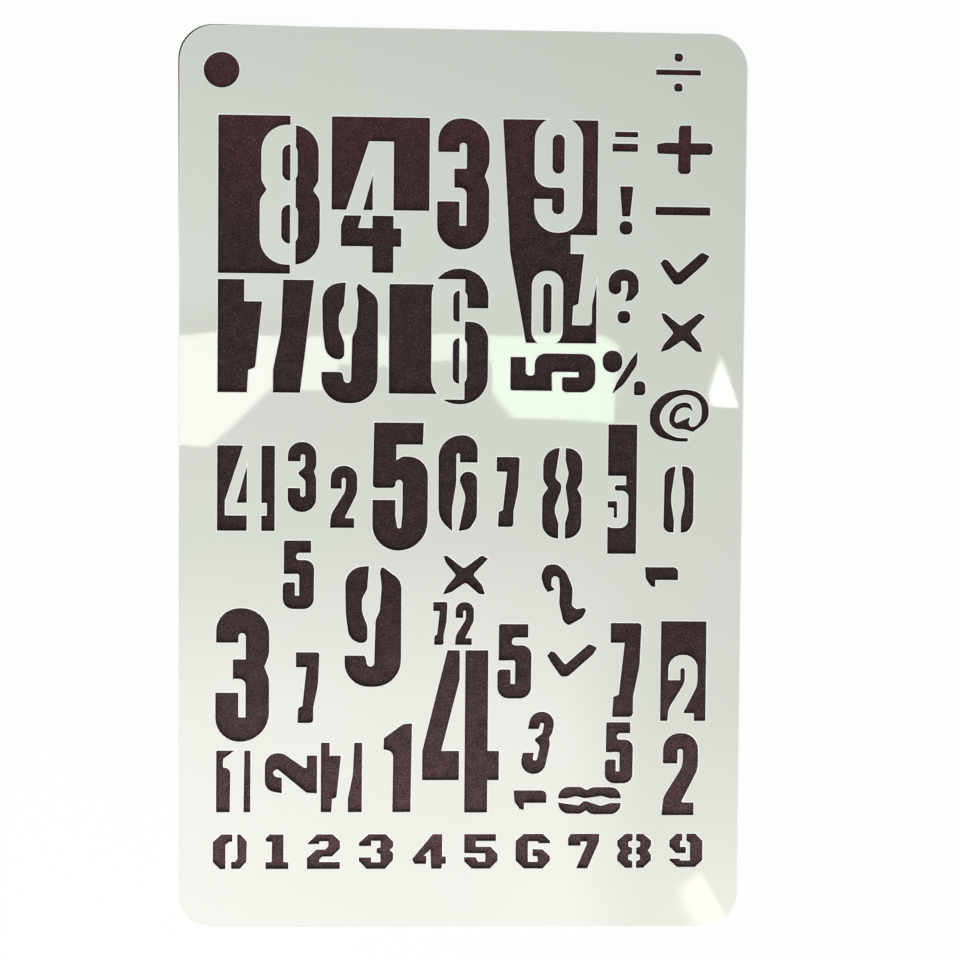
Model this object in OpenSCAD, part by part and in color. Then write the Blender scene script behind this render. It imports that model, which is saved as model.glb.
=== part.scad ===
// Lettering stencil: one thin sheet of plastic with a hanging hole and cut-out numerals and signs.
// The sheet lies flat: X runs across it, Y up it, Z through it, with the origin under its centre.

/* [Sheet] */
// Width of the sheet
sheet_w = 113; // [112:0.5:120]
// Height of the sheet
sheet_h = 180; // [178:0.5:190]
// Thickness of the sheet
sheet_t = 0.5; // [0.3:0.05:0.8]
// Radius of the sheet's four corners
corner_r = 7; // [3:0.5:10]

/* [Hanging hole] */
// Diameter of the hanging hole
hole_d = 7; // [4:0.5:8]
// Distance from the left edge to the middle of the hanging hole
hole_from_left = 8.3; // [7:0.1:12]
// Distance from the top edge to the middle of the hanging hole
hole_from_top = 8.8; // [7:0.1:12]

/* [Cut-outs] */
// Height of the plain numerals in the bottom row
row_h = 7; // [5:0.1:7.5]
// Height of the bottom row's foot line above the bottom edge
row_foot = 12; // [8:0.1:12]
// Largest gap between a rounded edge and the flats that make it
curve_gap = 0.025; // [0.01:0.005:0.1]

/* [Hidden] */

// How far a cutting shape runs past both faces of the sheet
past = 1;
// How far a reversed numeral runs past the edge of its dark block, so that it stays tied to the sheet
tie = 0.6;
// Width of the pale strip that parts a block from the dark half of a numeral on its edge
bridge = 1.1;

// ROUNDED OUTLINES
// An outline is a list of corners [x, y, radius], taken in order round the shape.

function flat(p) = [p.x, p.y];
function between(a, b) = norm(flat(b) - flat(a));
function heading(a, b) = atan2(b.y - a.y, b.x - a.x);

// Signed turn of the outline at p, from -180 to 180 degrees
function turn_at(a, p, b) =
    let (turn = heading(p, b) - heading(a, p))
    turn > 180 ? turn - 360 : turn < -180 ? turn + 360 : turn;

// Length of edge that the corner's full radius would use up on each side
function reach(a, p, b) = p.z * abs(tan(turn_at(a, p, b) / 2));

// Two corners that share a short edge split it in proportion
function share(edge, own, other) = own + other > edge ? edge * own / (own + other) : own;

// Points of one rounded corner
function corner(before, a, p, b, after) =
    let (
        own = reach(a, p, b),
        used = min(share(between(a, p), own, reach(before, a, p)),
                   share(between(p, b), own, reach(p, b, after)))
    )
    used < 0.001 ? [flat(p)] :
    let (
        turn = turn_at(a, p, b),
        side = sign(turn),
        r = used / abs(tan(turn / 2)),
        course = heading(a, p),
        start = flat(p) - used * [cos(course), sin(course)],
        middle = start + side * r * [-sin(course), cos(course)],
        step = 2 * acos(1 - min(curve_gap / r, 0.5)),
        count = ceil(abs(turn) / step)
    )
    [for (k = [0 : count])
        let (angle = course - side * 90 + turn * k / count)
        middle + r * [cos(angle), sin(angle)]];

function rounded(corners) =
    let (n = len(corners))
    [for (i = [0 : n - 1])
        each corner(corners[(i + n - 2) % n], corners[(i + n - 1) % n], corners[i],
                    corners[(i + 1) % n], corners[(i + 2) % n])];

// FIGURES
// Each figure is drawn on a grid that is 100 units high, as one outline for each separate cut.

// Heavy condensed numerals, already bridged where a middle would drop out
condensed_0 = [
    [[17.5, 99.5, 0], [11.5, 58, 25], [11.5, 44, 25], [16, 18, 6], [15.5, 0.5, 0], [0, 0.5, 11],
     [1, 99.5, 16]],
    [[27.2, 100, 0], [45, 100, 15], [45, 14, 24], [36, 1.5, 9], [26.4, 0, 0], [26.4, 20.8, 8],
     [31.5, 43, 25], [31.5, 66, 25], [27.6, 88, 8]]];
condensed_1 = [
    [[31.7, 100, 0], [22, 99.5, 14], [0.5, 83.5, 2], [0, 70.8, 1], [11, 69, 8], [10.4, 0, 0], [30.6, 0, 0]]];
condensed_2 = [
    [[1.1, 63.2, 0], [18.7, 63.2, 0], [18.7, 81, 3.2], [25.2, 81, 3.2], [25.2, 60, 25], [2, 22, 25],
     [0, 0, 0], [39, 0, 0], [39, 15.5, 0], [23.2, 15.5, 1.5], [43.6, 56, 30], [43.6, 100, 20],
     [1.1, 100, 20]]];
condensed_3 = [
    [[0, 72.4, 0], [17.9, 72.4, 0], [17.9, 82.6, 3.2], [24.6, 82.6, 3.2], [24.6, 65, 5], [13.5, 55.5, 3],
     [25, 45, 6], [25, 21.5, 3.6], [17.6, 21.5, 3.6], [17.6, 34.2, 0], [0, 34.2, 0], [0, 0, 20],
     [40.3, 0, 20], [40.3, 48, 10], [37, 58.5, 1], [40.3, 66, 9], [40.3, 100, 19], [0.5, 100, 19]]];
condensed_4 = [
    [[15, 100, 0], [22.5, 100, 0], [22.5, 82, 0], [11.5, 38, 0], [22.5, 38, 0], [22.5, 20, 0], [0, 20, 0],
     [0, 38, 0]],
    [[26, 100, 0], [40, 100, 0], [40, 38, 0], [47, 38, 0], [47, 20, 0], [40, 20, 0], [40, 0, 0],
     [26, 0, 0]]];
condensed_5 = [
    [[1.6, 100, 2.5], [40.8, 100, 0], [40.8, 82.2, 0], [19, 82.2, 5], [19, 71.5, 4], [45.4, 71.5, 13],
     [45, 0, 15], [0, 0, 15], [0, 39, 5], [17.6, 39, 2], [17.6, 19.5, 0], [23.8, 19.5, 0], [23.8, 51.5, 3],
     [1.4, 51, 0]]];
condensed_6 = [
    [[14.8, 0, 0], [14.4, 23, 30], [18.7, 50, 30], [18.7, 81.3, 1.9], [22.5, 81.3, 1.9], [22.5, 71.7, 0],
     [40.8, 71.7, 0], [40.8, 100, 15], [0, 100, 24], [0.5, 12, 26]],
    [[21.7, 0, 0], [33, 2, 8], [40.6, 15, 14], [40.6, 62, 9], [22.5, 62, 8.5], [22.5, 52, 6], [29, 36, 16]]];
condensed_7 = [
    [[0, 100, 0], [32.8, 100, 3.5], [31, 54, 40], [24.5, 22, 8], [24.5, 0, 4.5], [2.4, 0, 0], [3.5, 21.5, 1],
     [9.3, 23.5, 2.5], [15, 79, 0], [0, 79, 0]]];
condensed_8 = [
    [[18.8, 100, 0], [14, 67, 5], [20.8, 60, 3], [20.8, 54, 3], [13, 32, 14], [18, 17, 3], [18, 0.2, 0],
     [0, 0.2, 17], [0, 47, 12], [6.4, 55.7, 1], [0.8, 64, 12], [0.8, 100, 18]],
    [[25.5, 100, 0], [43.9, 100, 17], [43.9, 64, 12], [38.6, 55, 1], [43.4, 46, 12], [43.4, 0, 17],
     [25.5, 0, 0], [25.5, 17, 3], [29.4, 31, 12], [25.6, 57, 12], [29, 72, 8], [25.5, 86, 5]]];
condensed_9 = [
    [[30, 99.8, 1.5], [46.4, 88, 13], [46.4, 0, 22], [0, 0, 20], [0, 25.8, 0], [17, 25.8, 2.5],
     [18.8, 16.8, 3], [24.4, 16.8, 3], [25.3, 55, 5], [28.8, 63, 6], [30.2, 83, 12], [28.7, 95, 3]],
    [[19.6, 100, 0], [0, 98, 15], [0.8, 60, 40], [4, 36.3, 13], [18.6, 36.3, 5], [18.6, 50, 6], [14, 62, 12],
     [14, 73, 10], [18.2, 81, 4]]];

// Large numerals with square notches
broad_3 = [
    [[0.4, 74.3, 0], [16.8, 74.3, 0], [16.8, 81.5, 2.7], [22.4, 81.5, 2.7], [22.4, 61.8, 0], [12.9, 61.8, 0],
     [12.9, 47.2, 0], [22.4, 47.2, 5], [22.4, 18.3, 0], [16.9, 18.3, 0], [16.9, 36.7, 0], [0, 36.7, 0],
     [0, 0, 19], [39.7, 0, 23], [39.7, 47, 14], [36.2, 56.3, 1], [39.7, 66, 14], [39.7, 100, 20],
     [0.4, 100, 17]]];
broad_5 = [
    [[1, 100, 0], [39.5, 100, 0], [39, 83, 0], [18.3, 83, 0], [18.3, 70.5, 0], [23, 73.6, 4], [43, 73.6, 15],
     [43, 0, 23], [0, 0, 20], [0, 39.6, 0], [17.8, 39.6, 0], [17.8, 27, 10], [19.4, 17.4, 1.6],
     [22.4, 17.4, 1.6], [23.4, 30, 12], [23.4, 55.5, 3], [17.8, 55.5, 3], [17.8, 49, 3], [0, 49, 3]]];

// Bold numeral with a slanting neck
bold_2 = [
    [[0, 0, 0], [73.4, 0, 0], [73.4, 19.5, 0], [46, 19.5, 3], [78, 66, 25], [78, 100, 24], [6, 100, 20],
     [0, 67.4, 0], [30.1, 67.4, 0], [32, 80, 4], [41, 86, 5], [48, 77, 5], [1, 20, 8]]];

// Numeral 1 lying on its side, drawn as it lies
fallen_1 = [
    [[0, 60, 0], [100, 60, 15], [100, 21.7, 0], [31.4, 21.7, 0], [31.4, 0, 0], [19, 2.5, 6], [2, 26, 16]]];

// Block numerals with cut corners
block_0 = [
    [[24, 100, 0], [55, 100, 0], [55, 79, 0], [46, 79, 0], [35.4, 70, 0], [35.4, 0, 0], [20, 0, 0],
     [0, 20, 0], [0, 78, 0]],
    [[69, 100, 0], [78, 100, 0], [96, 80, 0], [95, 22, 0], [77, 1, 0], [52, 1, 0], [52, 21, 0], [63, 21, 0],
     [70, 30, 0]]];
block_1 = [
    [[12, 100, 0], [51, 100, 0], [51, 20, 0], [65, 20, 0], [65, 0, 0], [0, 0, 0], [0, 20, 0], [17.6, 20, 0],
     [18.7, 79, 0], [2, 79, 0], [0, 88, 0]]];
block_2 = [
    [[28, 100, 0], [73, 100, 0], [94, 80, 0], [94, 59, 0], [71, 36, 0], [44, 36, 0], [35, 27, 0],
     [35, 20, 0], [94, 20, 0], [94, 0, 0], [0, 0, 0], [0, 31, 0], [27, 56, 0], [52, 56, 0], [61, 65, 0],
     [61, 80, 0], [35, 80, 0], [35, 72, 0], [0, 72, 0]]];
block_3 = [
    [[28, 100, 0], [77, 100, 0], [98, 78, 0], [98, 64, 0], [88, 55, 0], [98, 45, 0], [98, 27, 0], [75, 0, 0],
     [22, 0, 0], [0, 23, 0], [0, 33, 0], [35, 33, 0], [35, 19, 0], [62, 19, 0], [62, 42, 0], [51, 46, 0],
     [51, 59, 0], [62, 62.5, 0], [62, 81, 0], [35, 81, 0], [35, 66, 0], [0, 66, 0], [0, 75, 0]]];
block_4 = [
    [[59, 100, 0], [86, 100, 0], [86, 35, 0], [97, 35, 0], [97, 14, 0], [86, 14, 0], [85, 0, 0], [55, 0, 0],
     [53, 57, 0], [33, 37, 0], [41, 37, 0], [40, 14, 0], [7, 14, 0], [0, 28, 0]]];
block_5 = [
    [[0, 100, 0], [91, 100, 0], [91, 80, 0], [33, 80, 0], [33, 63, 0], [76, 63, 0], [96, 42, 0], [96, 23, 0],
     [74, 0, 0], [22, 0, 0], [0, 21, 0], [0, 33, 0], [33, 33, 0], [40, 20, 0], [61, 20, 0], [61, 44, 0],
     [0, 45, 0]]];
block_6 = [
    [[23, 100, 0], [78, 100, 0], [99, 80, 0], [99, 73, 0], [66, 73, 0], [63, 79, 0], [35, 79, 0],
     [35, 19, 0], [64, 19, 0], [63, 35, 0], [49, 36, 0], [49, 56, 0], [78, 55, 0], [99, 35, 0],
     [99, 23, 0], [78, 0, 0], [24, 0, 0], [0, 23, 0], [0, 80, 0]]];
block_7 = [
    [[7, 100, 0], [90, 100, 0], [89, 77, 0], [56, 0, 0], [24, 0, 0], [54.4, 71, 0], [54.4, 78, 0],
     [36, 78, 0], [36, 66, 0], [0, 66, 0], [0, 87, 0]]];
block_8 = [
    [[23, 100, 0], [44, 100, 0], [44, 80, 0], [32, 77, 0], [32, 63, 0], [43, 59.5, 0], [43, 42, 0],
     [32, 38, 0], [32, 25, 0], [44, 20.5, 0], [44, 1, 0], [23, 1, 0], [0, 23, 0], [0, 38, 0], [9, 52, 0],
     [0, 66, 0], [0, 80, 0]],
    [[54.5, 100, 0], [75, 100, 0], [98, 80, 0], [98, 66, 0], [89, 52, 0], [98, 38, 0], [98, 23, 0],
     [75, 1, 0], [55, 1, 0], [55, 20.5, 0], [66, 25, 0], [66, 38, 0], [55, 42, 0], [55, 59.5, 0],
     [66, 63, 0], [66, 77, 0], [54.5, 80, 0]]];
block_9 = [
    [[20, 100, 0], [37, 100, 0], [37, 81, 0], [31, 78, 0], [31, 61.5, 0], [48, 61.5, 0], [48, 43.5, 0],
     [20, 43.5, 0], [0, 63, 0], [0, 81, 0]],
    [[49.5, 100, 0], [75, 100, 0], [96, 79, 0], [96, 23, 0], [75, 3, 0], [23, 3, 0], [0, 23, 0],
     [1, 27.5, 0], [31, 27.5, 0], [32.4, 22, 0], [60, 22, 0], [60, 74, 0], [49.5, 79, 0]]];
block_numerals = [block_0, block_1, block_2, block_3, block_4, block_5, block_6, block_7, block_8, block_9];
// Left edge of each numeral in the bottom row, from the middle of the sheet
row_left = [-49.4, -38.9, -30.6, -20.2, -9.5, 1, 11.4, 22, 32, 42.6];

// Signs and brush-drawn figures
divide_sign = [
    [[0, 43, 0], [118, 43, 0], [118, 57, 0], [0, 57, 0]],
    [[48, 0, 7], [70, 0, 7], [70, 22, 9], [48, 22, 9]],
    [[48, 78, 9], [70, 78, 9], [70, 100, 7], [48, 100, 7]]];
plus_sign = [
    [[45.5, 100, 7], [71.2, 100, 0.8], [70.8, 63.8, 0], [116, 64.5, 9], [115.5, 40.3, 8], [70.6, 40, 0],
     [70.6, 0, 8], [44, 0.5, 9], [44.7, 40.4, 0], [1.8, 41.5, 3], [0, 60.5, 4], [17, 64.5, 10],
     [44.7, 64.3, 0]]];
cross_sign = [
    [[1, 100, 0.5], [12, 99, 5], [53, 67, 9], [100, 102, 8], [115, 93, 0.5], [77, 52, 7], [101, 24, 15],
     [108, 1, 1], [93, 2, 6], [58, 32, 9], [22, 7, 10], [0, 0, 1], [9, 20, 12], [34, 50, 7], [7, 82, 15]]];
tick_sign = [
    [[0, 66, 2], [11, 80, 5], [24, 76, 5], [56, 37, 5], [130, 103, 10], [154, 91, 1], [144, 72, 10],
     [66, 2, 12], [44, 0, 12], [14, 42, 30]]];
exclamation_mark = [
    [[0, 100, 0], [27.8, 100, 0], [21.6, 38, 0], [5.1, 38, 0]],
    [[0, 0, 11], [26.7, 0, 11], [26.7, 28.2, 11], [0, 28.2, 11]]];
question_mark = [
    [[31.5, 40.5, 0.8], [44, 43, 6], [56, 57, 10], [56, 100, 26], [0, 100, 26], [0, 53.3, 12.5],
     [25, 53.3, 11], [23, 78.5, 3.5], [36, 78.5, 3.5], [36.5, 62, 20]],
    [[17.5, 0, 9], [41, 0, 9], [41, 23, 9], [17.5, 23, 9]]];
percent_sign = [
    [[0, 51.8, 20.5], [43.7, 51.8, 20.5], [43.7, 100, 20.5], [0, 100, 20.5]],
    [[77.8, 99, 0.5], [77, 70, 30], [48, 26, 40], [22, 4, 0.5], [32, 29, 20], [62, 79, 40]],
    [[70.5, 1.2, 4], [96, 1.2, 8], [96, 32.7, 11], [70.5, 32.7, 9]]];
at_sign = [
    [[74.4, 0, 0.8], [50, 0, 30], [16, 9, 30], [0, 32, 28], [0, 62, 34], [24, 92, 50], [62, 101, 50],
     [98, 97, 40], [114, 72, 34], [115, 44, 28], [101, 31, 20], [84.3, 18.7, 1], [66, 24, 20], [48, 24, 16],
     [38, 36, 14], [38, 54, 24], [50, 72, 22], [68, 76, 16], [79, 73, 10], [84, 57.5, 0.3], [76, 64.5, 8],
     [66, 66.5, 14], [52, 60, 14], [47.5, 40, 6], [52, 35.5, 3], [78.3, 47.3, 0.5], [75.5, 36, 4],
     [78.5, 28.5, 5], [88, 28.5, 12], [100, 40, 25], [101, 66, 25], [94, 84, 22], [74, 91, 25],
     [50, 87.5, 45], [24, 65, 40], [18, 44, 25], [27, 20, 30], [52, 7, 30], [74.4, 6.5, 0.5]]];
brush_2 = [
    [[10.2, 54.3, 0.8], [21.3, 59, 0.8], [15.5, 65, 3], [16, 81, 6], [28, 81, 6], [30, 60, 30],
     [29, 35, 40], [36, 6, 10], [45, -1, 5], [68, 12, 12], [77, 30, 4], [58, 26, 6], [50, 32, 5],
     [51.5, 62, 30], [40, 88, 20], [26, 101, 16], [6, 100, 12], [-2, 82, 20], [3, 64, 12]]];

// Whole numerals for reversed work: an outer outline and the middles inside it
whole_0 = [[[0, 0, 20], [42, 0, 20], [42, 100, 20], [0, 100, 20]],
    [[[15.5, 17, 5.4], [26.5, 17, 5.4], [26.5, 83, 5.4], [15.5, 83, 5.4]]]];
whole_4 = [[[24, 0, 0], [40, 0, 0], [40, 20, 0], [46, 20, 0], [46, 34, 0], [40, 34, 0], [40, 100, 0],
    [21, 100, 0], [0, 36, 0], [0, 20, 0], [24, 20, 0]],
    [[[13, 34, 0], [24, 34, 0], [24, 74, 0]]]];
whole_6 = [[[0, 0, 20], [42, 0, 20], [42, 61, 13], [16, 61, 3], [16, 84, 5], [26.5, 84, 5], [26.5, 71, 0],
    [42, 71, 0], [42, 100, 20], [0, 100, 20]],
    [[[16, 15, 5.2], [26.5, 15, 5.2], [26.5, 49, 5.2], [16, 49, 5.2]]]];
whole_8 = [[[0, 0, 19], [43, 0, 19], [43, 47, 10], [38, 53.5, 2], [42, 60, 9], [42, 100, 19], [1, 100, 19],
    [1, 60, 9], [5, 53.5, 2], [0, 47, 10]],
    [[[15.5, 15, 6], [27.5, 15, 6], [27.5, 43, 6], [15.5, 43, 6]],
     [[16, 60, 5.5], [27, 60, 5.5], [27, 86, 5.5], [16, 86, 5.5]]]];

// Grid points to millimetres, with an optional slant
function to_size(corners, size, slant) =
    [for (p = corners) [p.x + slant * p.y, p.y, p.z] * size / 100];

// A bridged figure with its lower left corner at x, y
module figure(cuts, x, y, size, turn = 0, slant = 0) {
    translate([x, y]) rotate(turn)
        for (cut = cuts) polygon(rounded(to_size(cut, size, slant)));
}

// A whole figure, middles left out
module whole_figure(parts, x, y, size, turn = 0, slant = 0) {
    translate([x, y]) rotate(turn)
        difference() {
            polygon(rounded(to_size(parts[0], size, slant)));
            for (middle = parts[1]) polygon(rounded(to_size(middle, size, slant)));
        }
}

// CUT-OUTS
// Places are in millimetres from the middle of the sheet. A figure stands on its lower left corner.

// Guide lines of the field of cut-outs
field_left = -48.8;
upper_top = 72.4;
upper_foot = 17.6;
lower_foot = -66.5;

// Every figure that stands alone, as [outline, x, y, height, turn]
signs = [
    [divide_sign, 38.1, 78.4, 7.6, 0],
    [plus_sign, 38.4, 62, 9.7, 0],
    [exclamation_mark, 31.1, 49.8, 9.6, 0],
    [tick_sign, 39.4, 39.9, 6.4, 0],
    [question_mark, 29, 32.1, 10.8, 0],
    [cross_sign, 39.6, 26.4, 7.8, 0],
    [percent_sign, 28, upper_foot, 9, 0],
    [at_sign, 37.6, 8.5, 10.4, 0],
    [condensed_0, 40.6, -9.9, 13.4, 0]];
counting_row = [
    [condensed_2, -26.4, -9.3, 12.4, 0],
    [condensed_3, -34.8, -6.2, 14, 0],
    [broad_5, -17.9, -13.8, 25.6, 0],
    [condensed_6, -4.8, -9.8, 19.2, 0],
    [condensed_7, 6.9, -8.9, 14, 0],
    [condensed_8, 16.1, -11.2, 18.2, 0]];
loose_figures = [
    [condensed_5, -35.7, -25.6, 13.7, 0],
    [condensed_9, -23.3, -41.2, 24.3, 0],
    [cross_sign, -3.7, -22.6, 7.8, 0],
    [brush_2, 16.2, -28.6, 12.1, 0],
    [fallen_1, 37, -20.9, 6.7, 0],
    [tick_sign, 17.4, -39.1, 6.5, 0],
    [broad_3, -49, -52.3, 26.8, 0],
    [condensed_7, -33, -48.5, 14.2, 0],
    [condensed_7, -5.6, -32.7, 8.6, 0],
    [condensed_2, -1.2, -32.7, 8.6, 0],
    [condensed_5, 7.4, -43.5, 15, 0],
    [condensed_7, 30.2, -47.2, 19, 0],
    [condensed_5, 29.3, -60.7, 12.4, 0],
    [bold_2, -28.7, -62.7, 10.4, 90],
    [condensed_1, -15.4, lower_foot, 17.9, 0],
    [condensed_4, -7.6, -66.6, 32.8, 0],
    [fallen_1, 10.9, -66.1, 6.6, 0],
    [condensed_8, 32.6, -67, 12.7, 90],
    [condensed_2, 40.9, -67.2, 16.7, 0]];

// The bars of the equals and minus signs, as [x, y, width, height]
sign_bars = [[30, 69.2, 4.6, 1.05], [29.5, 66.3, 5.1, 1.6], [38.3, 53.8, 11, 1.65]];

module placed(figures) {
    for (f = figures) figure(f[0], f[1], f[2], f[3], f[4]);
}

module bottom_row() {
    for (i = [0 : 9])
        figure(block_numerals[i], row_left[i], row_foot - sheet_h / 2, row_h);
}

module bars() {
    for (b = sign_bars) translate([b[0], b[1]]) square([b[2], b[3]]);
}

// COMPOSITIONS
// A block is a dark rectangle, drawn anticlockwise from its lower left corner.

function block(x, y, w, h) = [[x, y, 0], [x + w, y, 0], [x + w, y + h, 0], [x, y + h, 0]];
function foot(outline) = outline[0].y;
function rise(outline) = outline[2].y - outline[0].y;

// A convex outline, taken anticlockwise, with every edge moved out by gap
function grown(corners, gap) =
    let (n = len(corners))
    [for (i = [0 : n - 1])
        let (
            p = corners[i],
            into = heading(corners[(i + n - 1) % n], p) - 90,
            out = heading(p, corners[(i + 1) % n]) - 90,
            push = [cos(into) + cos(out), sin(into) + sin(out)] / (1 + cos(into - out))
        )
        [p.x + gap * push.x, p.y + gap * push.y, p.z]];

// A dark block with pale numerals that run out past its edge
module reversed(outline) {
    difference() {
        polygon(rounded(outline));
        children();
    }
}

// A block with a pale numeral that crosses it from its foot to its top
module crossed(outline, numeral, x) {
    reversed(outline) figure(numeral, x, foot(outline) - tie, rise(outline) + 2 * tie);
}

// A numeral that straddles a dark block's edge: pale on the block and dark beside it
module straddling(outline) {
    reversed(outline) children();
    difference() {
        children();
        polygon(rounded(grown(outline, bridge)));
    }
}

// Interlocked numerals above the counting row
module upper_composition() {
    straddling(block(field_left, 41.2, 14.2, 31.2)) whole_figure(whole_8, -40.6, 43, 27.6);
    straddling(block(-26.4, 54, 19.4, 18.4)) whole_figure(whole_4, -24.5, 41.6, 26);
    straddling(block(-14.8, upper_foot, 14, 21.8)) whole_figure(whole_6, -6.4, 15.6, 27);
    crossed([[field_left, upper_foot, 0], [-32.5, upper_foot, 0], [-29.8, 40, 0], [field_left, 40, 0]],
            condensed_7, -43.6);
    figure(condensed_9, -28.2, 15.6, 24);
    figure(broad_3, -5.4, 46.4, 26);
    figure(condensed_5, 26.5, 18.2, 17, turn = 90);
    tapered_foot = 28;
    reversed([[12.5, tapered_foot, 0], [26.6, tapered_foot, 0], [26.6, upper_top, 0], [7.6, upper_top, 0],
              [9.2, 46, 0]]) {
        whole_figure(whole_6, 23.6, upper_top + tie, 23, turn = 180);
        figure(condensed_7, 21.3, 31.6, 18);
        whole_figure(whole_0, 13.6, tapered_foot - tie, 15);
    }
}

// Reversed numerals beside the counting row and between the loose figures
module lower_composition() {
    four_block = block(field_left, -10, 11.4, 17);
    reversed(four_block) whole_figure(whole_4, -47.3, foot(four_block) - tie, rise(four_block) + 2 * tie);
    five_block = block(29.3, -14.2, 5.8, 26);
    reversed(five_block) figure(condensed_5, five_block[0].x - tie, -9, 10.5);
    two_block = block(40.4, -48, 9.2, 20.2);
    reversed(two_block) figure(condensed_2, 41.8, foot(two_block) - tie, 14);
    crossed(block(field_left, lower_foot, 6.8, 12.4), condensed_1, -47.5);
    crossed(block(-27.9, lower_foot, 8.2, 14), condensed_7, -26.2);
    figure(condensed_3, 11.8, -58.8, 12.6, slant = 0.2);
}

module cutouts() {
    placed(signs);
    placed(counting_row);
    placed(loose_figures);
    bars();
    bottom_row();
    upper_composition();
    lower_composition();
}

// SHEET

module sheet_outline() {
    inset_w = sheet_w / 2 - corner_r;
    inset_h = sheet_h / 2 - corner_r;
    square([sheet_w, 2 * inset_h], center = true);
    square([2 * inset_w, sheet_h], center = true);
    for (sx = [-1, 1], sy = [-1, 1])
        translate([sx * inset_w, sy * inset_h]) circle(corner_r, $fn = 96);
}

module stencil_sheet() {
    color("honeydew")
    difference() {
        linear_extrude(sheet_t)
            difference() {
                sheet_outline();
                cutouts();
            }
        translate([hole_from_left - sheet_w / 2, sheet_h / 2 - hole_from_top, -past])
            cylinder(d = hole_d, h = sheet_t + 2 * past, $fn = 96);
    }
}

stencil_sheet();
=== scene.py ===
# %% [markdown]
# A lettering stencil on a dark card, dressed for its picture.
# The object is one thin sheet of pale, glossy plastic with rounded corners, a round hanging hole and a
# field of cut-out numerals and signs. Its CAD model already holds every cut at its true size, so the mesh
# is used as it is. What Blender adds is the finish: the lip that cutting leaves round each hole, painted
# paler as a painted highlight, painted shade on the walls inside the cut-outs, the slight waves of a thin
# sheet, the wear on its gloss, and light that shows all of these.

# %% Load the imported model
import math

import bpy
from mathutils import Euler, Matrix, Vector


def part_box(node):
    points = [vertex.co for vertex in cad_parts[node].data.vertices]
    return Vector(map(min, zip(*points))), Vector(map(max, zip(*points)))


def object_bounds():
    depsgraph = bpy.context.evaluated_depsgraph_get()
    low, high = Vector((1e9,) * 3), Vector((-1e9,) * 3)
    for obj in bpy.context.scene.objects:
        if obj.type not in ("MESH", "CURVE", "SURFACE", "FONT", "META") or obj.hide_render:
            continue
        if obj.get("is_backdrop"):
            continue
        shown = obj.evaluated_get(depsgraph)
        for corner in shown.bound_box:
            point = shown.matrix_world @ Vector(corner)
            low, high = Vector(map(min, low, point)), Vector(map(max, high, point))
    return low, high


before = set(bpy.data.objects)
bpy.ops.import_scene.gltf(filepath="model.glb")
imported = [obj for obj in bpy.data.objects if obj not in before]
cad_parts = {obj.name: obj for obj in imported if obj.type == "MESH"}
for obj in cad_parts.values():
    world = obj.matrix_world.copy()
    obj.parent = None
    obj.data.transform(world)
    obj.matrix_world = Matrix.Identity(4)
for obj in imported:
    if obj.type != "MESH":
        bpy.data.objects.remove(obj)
cad_low, cad_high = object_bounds()

MM = 0.001
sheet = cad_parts["stencil_sheet"]
sheet_low, sheet_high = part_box("stencil_sheet")
sheet_size = sheet_high - sheet_low
print("sheet in mm:", [round(side / MM, 2) for side in sheet_size])
print("faces in the sheet's mesh:", len(sheet.data.polygons))

# %% [markdown]
# The camera stands where the photograph was taken from. A sheet seen square on would show equal margins
# left and right. Here the edges lean by a degree or two, which puts the lens a little left of the sheet's
# middle and tilts it slightly. The place and the turn below were found by matching the sheet's corners,
# and the lens is a short telephoto, so that the far cut-outs don't shrink.

# %% Camera
CAMERA_PLACE = Vector((-9.2, 10.1, 320.6)) * MM
CAMERA_TURN = Euler([math.radians(turn) for turn in (-1.743, -2.266, 0.478)])

camera_data = bpy.data.cameras.new("photo_camera")
camera_data.sensor_width = 36
camera_data.lens = 60
camera = bpy.data.objects.new("photo_camera", camera_data)
camera.location = CAMERA_PLACE
camera.rotation_euler = CAMERA_TURN
bpy.context.collection.objects.link(camera)
bpy.context.scene.camera = camera
print("camera height above the sheet in mm:", round((camera.location.z - sheet_high.z) / MM, 1))

# %% [markdown]
# A few small helpers keep the later cells short. new_material makes a material and hands back its nodes.
# feed sets an input, or joins it where the value comes from another node. add_node adds a node with its
# settings and inputs, so that each texture reads as one line.
# grain is a noise of a real size: it reads the object's own coordinates, which are metres here, so a size
# in millimetres becomes a noise scale. spread stretches a value from one range to another, combine does a
# sum on two values, and blend_colours mixes two colours.

# %% Helpers for materials
def new_material(name):
    material = bpy.data.materials.new(name)
    material.use_nodes = True
    tree = material.node_tree
    return material, tree, tree.nodes["Principled BSDF"]


def feed(tree, socket, value):
    if isinstance(value, bpy.types.NodeSocket):
        tree.links.new(value, socket)
    else:
        socket.default_value = value


def add_node(tree, kind, settings=None, **inputs):
    node = tree.nodes.new(kind)
    for name, value in (settings or {}).items():
        setattr(node, name, value)
    for name, value in inputs.items():
        feed(tree, node.inputs[name.replace("_", " ")], value)
    return node


def grain(tree, size_mm, detail=2.0, roughness=0.5, stretch=(1, 1, 1)):
    place = add_node(tree, "ShaderNodeTexCoord").outputs["Object"]
    scaled = add_node(tree, "ShaderNodeMapping", Vector=place, Scale=stretch).outputs["Vector"]
    noise = add_node(tree, "ShaderNodeTexNoise", Vector=scaled, Scale=1 / (size_mm * MM), Detail=detail,
                     Roughness=roughness)
    return noise.outputs["Fac"]


def spread(tree, factor, low, high, start=0.3, end=0.7):
    ramp = add_node(tree, "ShaderNodeMapRange", Value=factor, From_Min=start, From_Max=end, To_Min=low,
                    To_Max=high)
    return ramp.outputs["Result"]


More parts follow.
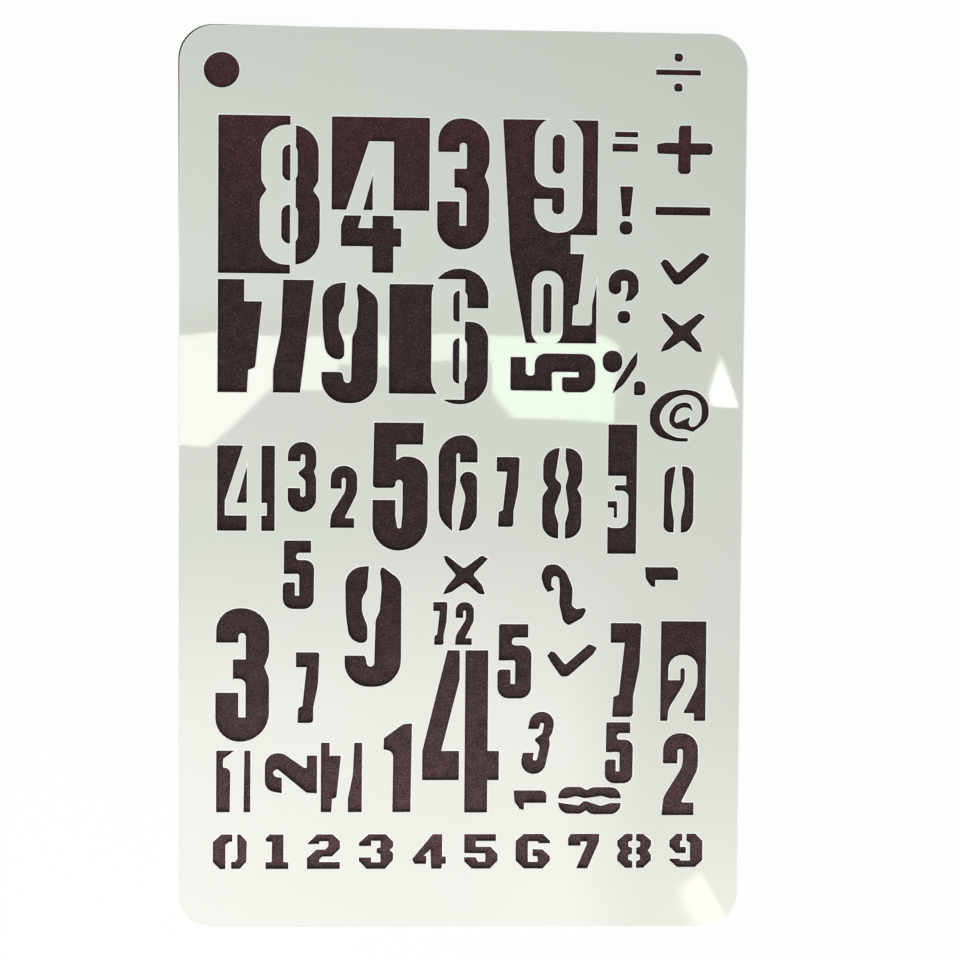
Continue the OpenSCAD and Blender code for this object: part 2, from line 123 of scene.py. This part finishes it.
def combine(tree, operation, first, second):
    sum_node = add_node(tree, "ShaderNodeMath", {"operation": operation})
    for socket, value in zip(sum_node.inputs, (first, second)):
        feed(tree, socket, value)
    return sum_node.outputs["Value"]


def blend_colours(tree, factor, first, second):
    mix = add_node(tree, "ShaderNodeMix", {"data_type": "RGBA"})
    for name, value in {"Factor": factor, "A": first, "B": second}.items():
        feed(tree, mix.inputs[name], value)
    return mix.outputs["Result"]


# %% [markdown]
# The sheet's plastic is a pale film with a faint green cast and a hard gloss. Three things keep it from
# looking like a flat white card. Its colour drifts a little over a few centimetres. Its gloss is uneven,
# with fine grain, handling smudges and hairline scratches, which are noises stretched along X and along
# Y. And it isn't quite flat: a thin sheet waves by a few hundredths of a millimetre, which is far too
# little to model but bends every reflection, so it is done with a bump.

# %% Sheet plastic
PALE = (0.726, 0.775, 0.700, 1)
WARM = (0.745, 0.775, 0.715, 1)
SCRATCH_STRETCHES = ((1, 0.02, 1), (0.03, 1, 1))
WAVE_HEIGHT = 0.12 * MM
SKIN_HEIGHT = 0.0006 * MM


def sheet_plastic():
    material, tree, shader = new_material("sheet_plastic")
    drift = grain(tree, 45, detail=1)
    tone = blend_colours(tree, spread(tree, drift, 0, 1), PALE, WARM)
    tree.links.new(tone, shader.inputs["Base Color"])

    smudges = spread(tree, grain(tree, 14, detail=4), 0, 0.03, start=0.55, end=0.75)
    fine = spread(tree, grain(tree, 0.4, detail=3), 0.015, 0.03)
    scratches = [spread(tree, grain(tree, 0.5, stretch=pull), 0, 0.08, start=0.68, end=0.74)
                 for pull in SCRATCH_STRETCHES]
    total = fine
    for layer in (smudges, *scratches):
        total = combine(tree, "ADD", total, layer)
    tree.links.new(total, shader.inputs["Roughness"])

    waves = add_node(tree, "ShaderNodeBump", Height=grain(tree, 38, detail=1), Distance=WAVE_HEIGHT)
    skin = add_node(tree, "ShaderNodeBump", Height=grain(tree, 1.2, detail=2), Distance=SKIN_HEIGHT,
                    Normal=waves.outputs["Normal"])
    tree.links.new(skin.outputs["Normal"], shader.inputs["Normal"])
    shader.inputs["IOR"].default_value = 1.58
    return material


sheet.data.materials.clear()
sheet.data.materials.append(sheet_plastic())
print("sheet's finish:", sheet.data.materials[0].name)

# %% [markdown]
# The cutter leaves a fine lip round every hole and round the outline, where the plastic has melted and
# set again. In the photograph it reads as a thin bright line. Inside a cut-out a thin dark line follows,
# where the wall of the cut stands in its own shade. Both are painted into the colour: the lip gets a paler
# finish, a painted highlight, and the walls a near-black one, painted shade. A wall is an upright face of
# the mesh, so its normal lies flat. It belongs to a cut-out where it is well inside the sheet's outline,
# and the outer wall keeps the plastic.

# %% Painted highlight and painted shade of the cuts
LIP_HIGHLIGHT_SLOT = 1
WALL_SHADE_SLOT = 2
FLAT_NORMAL_Z = 0.5
RIM = 4.5 * MM


def cut_highlight_and_shade(name, size_mm, dull, clear, roughness):
    material, tree, shader = new_material(name)
    tone = blend_colours(tree, grain(tree, size_mm), dull, clear)
    tree.links.new(tone, shader.inputs["Base Color"])
    shader.inputs["Roughness"].default_value = roughness
    return material


# The lip's paler colour is a painted highlight.
lip_painted_highlight = cut_highlight_and_shade("lip_painted_highlight", size_mm=0.8, dull=(0.90, 0.93, 0.88, 1),
                          clear=(0.96, 0.98, 0.95, 1), roughness=0.3)
# The walls' near-black colour is painted shade; the real walls are the sheet's pale plastic.
wall_painted_shade = cut_highlight_and_shade("wall_painted_shade", size_mm=0.6, dull=(0.08, 0.08, 0.07, 1),
                           clear=(0.12, 0.12, 0.11, 1), roughness=0.6)
sheet.data.materials.append(lip_painted_highlight)
sheet.data.materials.append(wall_painted_shade)
# Upright faces well inside the outline get the walls' painted shade.
for face in sheet.data.polygons:
    inside = abs(face.center.x) < sheet_high.x - RIM and abs(face.center.y) < sheet_high.y - RIM
    if inside and abs(face.normal.z) < FLAT_NORMAL_Z:
        face.material_index = WALL_SHADE_SLOT
shaded_walls = sum(face.material_index == WALL_SHADE_SLOT for face in sheet.data.polygons)
print("faces with the wall's finish:", shaded_walls)

# %% [markdown]
# The bright line isn't painted on with a mask: a real rounded edge also catches the light from the side,
# so a Bevel modifier makes it, and its new faces still get the lip's paler colour, a painted highlight.
# A bevel rounds only an edge that two faces share, and the CAD mesh arrives with corners of its own for
# each face, so a Weld modifier joins them first. The bevel doesn't slide along edges or clamp its width,
# because the tightest corners would otherwise narrow every lip.

# %% Cut lip
LIP_WIDTH = 0.19 * MM
LIP_FULLNESS = 0.75
WELD_GAP = 0.002 * MM
SHARP_EDGE = math.radians(60)

weld = sheet.modifiers.new("joined_faces", "WELD")
weld.merge_threshold = WELD_GAP
lip = sheet.modifiers.new("cut_lip", "BEVEL")
lip.width = LIP_WIDTH
lip.segments = 2
lip.profile = LIP_FULLNESS
lip.loop_slide = False
lip.limit_method = "ANGLE"
lip.angle_limit = SHARP_EDGE
lip.use_clamp_overlap = False
# The bevel's new faces take the lip's painted highlight.
lip.material = LIP_HIGHLIGHT_SLOT
print("modifiers on the sheet:", [modifier.name for modifier in sheet.modifiers])

# %% [markdown]
# The stencil lies on a dark, plum-brown card, which is what makes its cut-outs readable. The card isn't
# part of the object. Its colour isn't even: it is ruddy at the top, nearly neutral in the middle and
# paler towards the foot. Two ramps along its height make these changes, and a slow noise bends them, so
# that they don't run dead straight. A fine mottle, specks of pale lint and a bump give it the grain of
# dyed card. Each of its tones is a pair, the dark and the pale side of the mottle.

# %% Card stock
DEEP = (0.010, 0.004, 0.005, 1)
DEEP_RUDDY = (0.022, 0.007, 0.008, 1)
DEEP_PALE_FOOT = (0.012, 0.006, 0.007, 1)
LIGHT = (0.062, 0.035, 0.038, 1)
LIGHT_RUDDY = (0.108, 0.044, 0.052, 1)
LIGHT_PALE_FOOT = (0.150, 0.087, 0.089, 1)
LINT = (0.19, 0.13, 0.13, 1)
PALE_FOOT_BELOW = -72 * MM
PALE_FOOT_ENDS_ABOVE = -20 * MM
RUDDY_FROM = 45 * MM
RUDDY_FULL = 80 * MM
RAMP_WANDER = 9 * MM
FIBRE_HEIGHT = 0.08 * MM


def card_stock():
    material, tree, shader = new_material("card_stock")
    place = add_node(tree, "ShaderNodeTexCoord").outputs["Object"]
    level = add_node(tree, "ShaderNodeSeparateXYZ", Vector=place).outputs["Y"]
    wander = spread(tree, grain(tree, 30, detail=1), -RAMP_WANDER, RAMP_WANDER)
    level = combine(tree, "ADD", level, wander)
    pale_foot = spread(tree, level, 1, 0, start=PALE_FOOT_BELOW, end=PALE_FOOT_ENDS_ABOVE)
    ruddy = spread(tree, level, 0, 1, start=RUDDY_FROM, end=RUDDY_FULL)
    deep = blend_colours(tree, pale_foot, blend_colours(tree, ruddy, DEEP, DEEP_RUDDY), DEEP_PALE_FOOT)
    light = blend_colours(tree, pale_foot, blend_colours(tree, ruddy, LIGHT, LIGHT_RUDDY), LIGHT_PALE_FOOT)

    blotches = spread(tree, grain(tree, 2.5), -0.04, 0.04)
    flecks = combine(tree, "ADD", grain(tree, 0.35, detail=5, roughness=0.75), blotches)
    mottled = blend_colours(tree, spread(tree, flecks, 0, 1, start=0.36, end=0.66), deep, light)
    lint = spread(tree, grain(tree, 0.45, detail=3, roughness=0.6), 0, 0.5, start=0.6, end=0.72)
    tree.links.new(blend_colours(tree, lint, mottled, LINT), shader.inputs["Base Color"])

    shader.inputs["Roughness"].default_value = 0.85
    shader.inputs["Specular IOR Level"].default_value = 0.25
    fibres = add_node(tree, "ShaderNodeBump", Height=grain(tree, 0.4, detail=4), Distance=FIBRE_HEIGHT)
    tree.links.new(fibres.outputs["Normal"], shader.inputs["Normal"])
    return material


card_finish = card_stock()
print("nodes in the card's finish:", len(card_finish.node_tree.nodes))

# %% [markdown]
# The card and the floor are both flat slabs with rounded corners, so one helper makes them: a ring of
# points for the outline, once at the bottom and once at the top, and faces between. The card is nearly as
# large as the sheet and lies a little out of square under it, so that its dark edge shows round the upper
# left corner, as in the photograph, and the other sides end against the pale floor.

# %% Card under the sheet
CARD_INSET = 1.5 * MM
CARD_LEFT_INSET = 0.16 * MM
CARD_TOP_INSET = 0.02 * MM
CARD_DROP = 0.3 * MM
CARD_THICKNESS = 0.5 * MM
CARD_CORNER = 7 * MM
CARD_LEAN = 0.006
CORNER_STEPS = 12


def slab(name, low, high, corner, material):
    middles = ((high.x - corner, high.y - corner), (low.x + corner, high.y - corner),
               (low.x + corner, low.y + corner), (high.x - corner, low.y + corner))
    points = []
    for quarter, (cx, cy) in enumerate(middles):
        for step in range(CORNER_STEPS + 1):
            angle = math.radians(90 * (quarter + step / CORNER_STEPS))
            points.append((cx + corner * math.cos(angle), cy + corner * math.sin(angle)))
    count = len(points)
    vertices = [(x, y, z) for z in (low.z, high.z) for x, y in points]
    sides = [(i, (i + 1) % count, count + (i + 1) % count, count + i) for i in range(count)]
    faces = [tuple(reversed(range(count))), tuple(range(count, 2 * count)), *sides]
    mesh = bpy.data.meshes.new(name)
    mesh.from_pydata(vertices, [], faces)
    mesh.materials.append(material)
    piece = bpy.data.objects.new(name, mesh)
    bpy.context.collection.objects.link(piece)
    return piece


card_top = sheet_low.z - CARD_DROP
card_low = Vector((sheet_low.x + CARD_LEFT_INSET, sheet_low.y + CARD_INSET, card_top - CARD_THICKNESS))
card_high = Vector((sheet_high.x - CARD_INSET, sheet_high.y - CARD_TOP_INSET, card_top))
card = slab("card", card_low, card_high, CARD_CORNER, card_finish)
card.data.transform(Matrix(((1, -CARD_LEAN, 0), (-CARD_LEAN, 1, 0), (0, 0, 1))).to_4x4())
card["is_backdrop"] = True
print("card in mm:", [round(side / MM, 1) for side in card.dimensions])

# %% [markdown]
# The floor is plain and pale. Its material mixes two things: a diffuse white, which takes the sheet's
# shadow, and a plain white glow that only the camera and reflections see. The glow makes the background
# white without any extra lamp, so the sheet's own colours keep their level.

# %% Floor
FLOOR_SIDE = 6.0
FLOOR_THICKNESS = 0.01
FLOOR_CORNER = 0.05
FLOOR_WHITE = (0.9, 0.9, 0.9, 1)
FLOOR_GLOW = 0.95


def floor_paint():
    material, tree, shader = new_material("floor_paint")
    shader.inputs["Base Color"].default_value = FLOOR_WHITE
    shader.inputs["Roughness"].default_value = 0.9
    glow = add_node(tree, "ShaderNodeEmission", Color=(1, 1, 1, 1), Strength=1.0)
    ray = add_node(tree, "ShaderNodeLightPath")
    seen = ray.outputs["Is Camera Ray"]
    for kind in ("Is Glossy Ray", "Is Transmission Ray"):
        seen = combine(tree, "MAXIMUM", seen, ray.outputs[kind])
    mix = tree.nodes.new("ShaderNodeMixShader")
    tree.links.new(combine(tree, "MULTIPLY", seen, FLOOR_GLOW), mix.inputs["Fac"])
    tree.links.new(shader.outputs["BSDF"], mix.inputs[1])
    tree.links.new(glow.outputs["Emission"], mix.inputs[2])
    tree.links.new(mix.outputs["Shader"], tree.nodes["Material Output"].inputs["Surface"])
    return material


reach = FLOOR_SIDE / 2
floor_top = card_low.z
floor_low = Vector((-reach, -reach, floor_top - FLOOR_THICKNESS))
floor_high = Vector((reach, reach, floor_top))
floor = slab("floor", floor_low, floor_high, FLOOR_CORNER, floor_paint())
floor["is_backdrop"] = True
print("floor below the sheet in mm:", round((sheet_low.z - floor_top) / MM, 2))

# %% [markdown]
# The light is plain and soft, and all lamps are flat rectangles. lamp places one and aims it. Its strength
# is given as a radiance, which is how bright the lamp itself looks, because the gloss mirrors the lamps
# and what shows there is their own brightness, whatever their size. Blender asks for watts instead, and
# 4 watts for each square metre of a lamp give it a radiance of 1. fade dims a lamp across its face, as
# most of the pale patches on the sheet have at least one soft side. Each ramp is given as a direction, by
# its shares of x and y, and two places along it in millimetres from the lamp's middle, where the lamp is
# dark and where it is at full strength.

# %% Helpers for lamps
WATTS_PER_SQUARE_METRE = 4
CEILING_MM = 600


def lamp(name, centre_mm, width_mm, height_mm, radiance, colour, target_mm=(0, 0, 0)):
    data = bpy.data.lights.new(name, "AREA")
    data.shape = "RECTANGLE"
    data.size = width_mm * MM
    data.size_y = height_mm * MM
    data.energy = radiance * WATTS_PER_SQUARE_METRE * data.size * data.size_y
    data.color = colour
    light = bpy.data.objects.new(name, data)
    light.location = Vector(centre_mm) * MM
    aim = Vector(target_mm) * MM - light.location
    light.rotation_euler = aim.to_track_quat("-Z", "Y").to_euler()
    light.visible_camera = False
    bpy.context.collection.objects.link(light)
    return light


def ceiling_panel(name, x_from, x_to, y_from, y_to, radiance, colour, turn=0, height=CEILING_MM):
    middle = ((x_from + x_to) / 2, (y_from + y_to) / 2, height)
    below = (middle[0], middle[1], 0)
    panel = lamp(name, middle, x_to - x_from, y_to - y_from, radiance, colour, below)
    panel.rotation_euler = (0, 0, math.radians(turn))
    return panel


def fade(light, *ramps):
    light.data.use_nodes = True
    tree = light.data.node_tree
    place = add_node(tree, "ShaderNodeNewGeometry").outputs["Parametric"]
    axes = add_node(tree, "ShaderNodeSeparateXYZ", Vector=place).outputs
    strength = 1.0
    for x_share, y_share, dark, full in ramps:
        x_reach = x_share * light.data.size / 2
        y_reach = y_share * light.data.size_y / 2
        along = combine(tree, "ADD", spread(tree, axes["X"], -x_reach, x_reach, 0, 1),
                        spread(tree, axes["Y"], -y_reach, y_reach, 0, 1))
        strength = combine(tree, "MULTIPLY", strength, spread(tree, along, 0, 1, dark * MM, full * MM))
    tree.links.new(strength, tree.nodes["Emission"].inputs["Strength"])


# %% [markdown]
# A lamp low on the left makes the near left of the sheet lighter than its far right corner. The rest is
# reflection. The sheet is glossy and the camera looks straight down at it, so it mirrors the ceiling, and
# each bright patch up there becomes a pale patch on the plastic. A place on the sheet turns into a place
# on the ceiling by plain mirror geometry: at 600 mm up, a panel is about 2.9 times as large as its patch.
# Four panels side by side make the stepped glare that crosses the sheet above its middle. Two small ones
# make the streak in the lower right corner and the spot at the right edge, and three large, weak ones
# make the slow changes of tone. Where panels overlap they hang at slightly different heights, because a
# reflection shows only the first one that it meets. The line of a panel gives its sides in millimetres,
# from left to right and from near to far, and then its radiance and colour.

# %% Key lamp and ceiling panels
lamp("key", (-150, -350, 300), width_mm=300, height_mm=300, radiance=3.9, colour=(1.0, 0.93, 0.98))

panel_left = ceiling_panel("panel_left", -150, -93, 1, 65, 4.4, (0.98, 1.0, 0.94))
fade(panel_left, (-0.68, 0.74, -19, -16.5))
ceiling_panel("panel_step", -93, -52, 33, 65, 4.2, (0.92, 1.0, 0.90))
ceiling_panel("panel_band", -52, 33, 49, 65, 4.0, (0.84, 1.0, 0.82))
panel_right = ceiling_panel("panel_right", 33, 105, 16, 65, 4.9, (0.76, 1.0, 0.73))
fade(panel_right, (0.77, 0.64, -35.5, -31), (-0.54, -0.84, -37.5, -34))

panel_top = ceiling_panel("panel_top", -220, 240, 70, 270, 0.85, (0.65, 1.0, 0.92))
fade(panel_top, (-1, 0, -230, 150), (0, -1, -100, 10), (0, 1, -100, -75))
panel_low = ceiling_panel("panel_low", -268, 125, -405, -50, 1.9, (1.0, 0.87, 0.92))
fade(panel_low, (0, -1, -177, -77), (-1, 0, -196, -150))
panel_deep = ceiling_panel("panel_deep", 20, 260, -420, -150, 1.9, (1.0, 0.87, 0.78), height=CEILING_MM - 5)
fade(panel_deep, (1, 0, -120, 30), (0, -1, -135, -25))

panel_corner = ceiling_panel("panel_corner", 150, 175, -303, -241, 3.4, (1.0, 0.90, 0.67), turn=32,
                             height=CEILING_MM - 10)
fade(panel_corner, (1, 0, -12.5, -2), (0, -1, -31, -24), (-1, 0, -12, -9))
panel_spot = ceiling_panel("panel_spot", 160, 176, 27, 57, 7.5, (1.0, 0.97, 0.90))
fade(panel_spot, (0.92, -0.39, -5.6, -2.9), (-0.97, -0.25, -5.0, -3.0))

# %% [markdown]
# An even world fills every side. Seen straight by the camera it is as pale as the floor instead, so that
# the floor's far edge doesn't show from the side. The object's own light isn't changed by that.

# %% World
FILL_COLOUR = (0.93, 1, 0.955, 1)
FILL = 0.35
FLOOR_LEVEL = 0.975

world = bpy.data.worlds.new("studio")
bpy.context.scene.world = world
world.use_nodes = True
world_tree = world.node_tree
fill = world_tree.nodes["Background"]
fill.inputs["Color"].default_value = FILL_COLOUR
fill.inputs["Strength"].default_value = FILL
backdrop = add_node(world_tree, "ShaderNodeBackground", Color=(1, 1, 1, 1), Strength=FLOOR_LEVEL)
seen = add_node(world_tree, "ShaderNodeLightPath").outputs["Is Camera Ray"]
mix = world_tree.nodes.new("ShaderNodeMixShader")
world_tree.links.new(seen, mix.inputs["Fac"])
world_tree.links.new(fill.outputs["Background"], mix.inputs[1])
world_tree.links.new(backdrop.outputs["Background"], mix.inputs[2])
world_tree.links.new(mix.outputs["Shader"], world_tree.nodes["World Output"].inputs["Surface"])

bpy.context.scene.view_settings.view_transform = "Standard"
print("fill:", FILL, "seen behind the floor:", FLOOR_LEVEL)

# %% [markdown]
# The last cell compares the dressed model's box with the CAD box, so that a modifier that swelled the
# sheet would show.

# %% Check the size of the dressed model
look_low, look_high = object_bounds()
changes = [abs(now - cad) for now, cad in zip((*look_low, *look_high), (*cad_low, *cad_high))]
print("largest change of a corner in mm:", round(max(changes) / MM, 3))
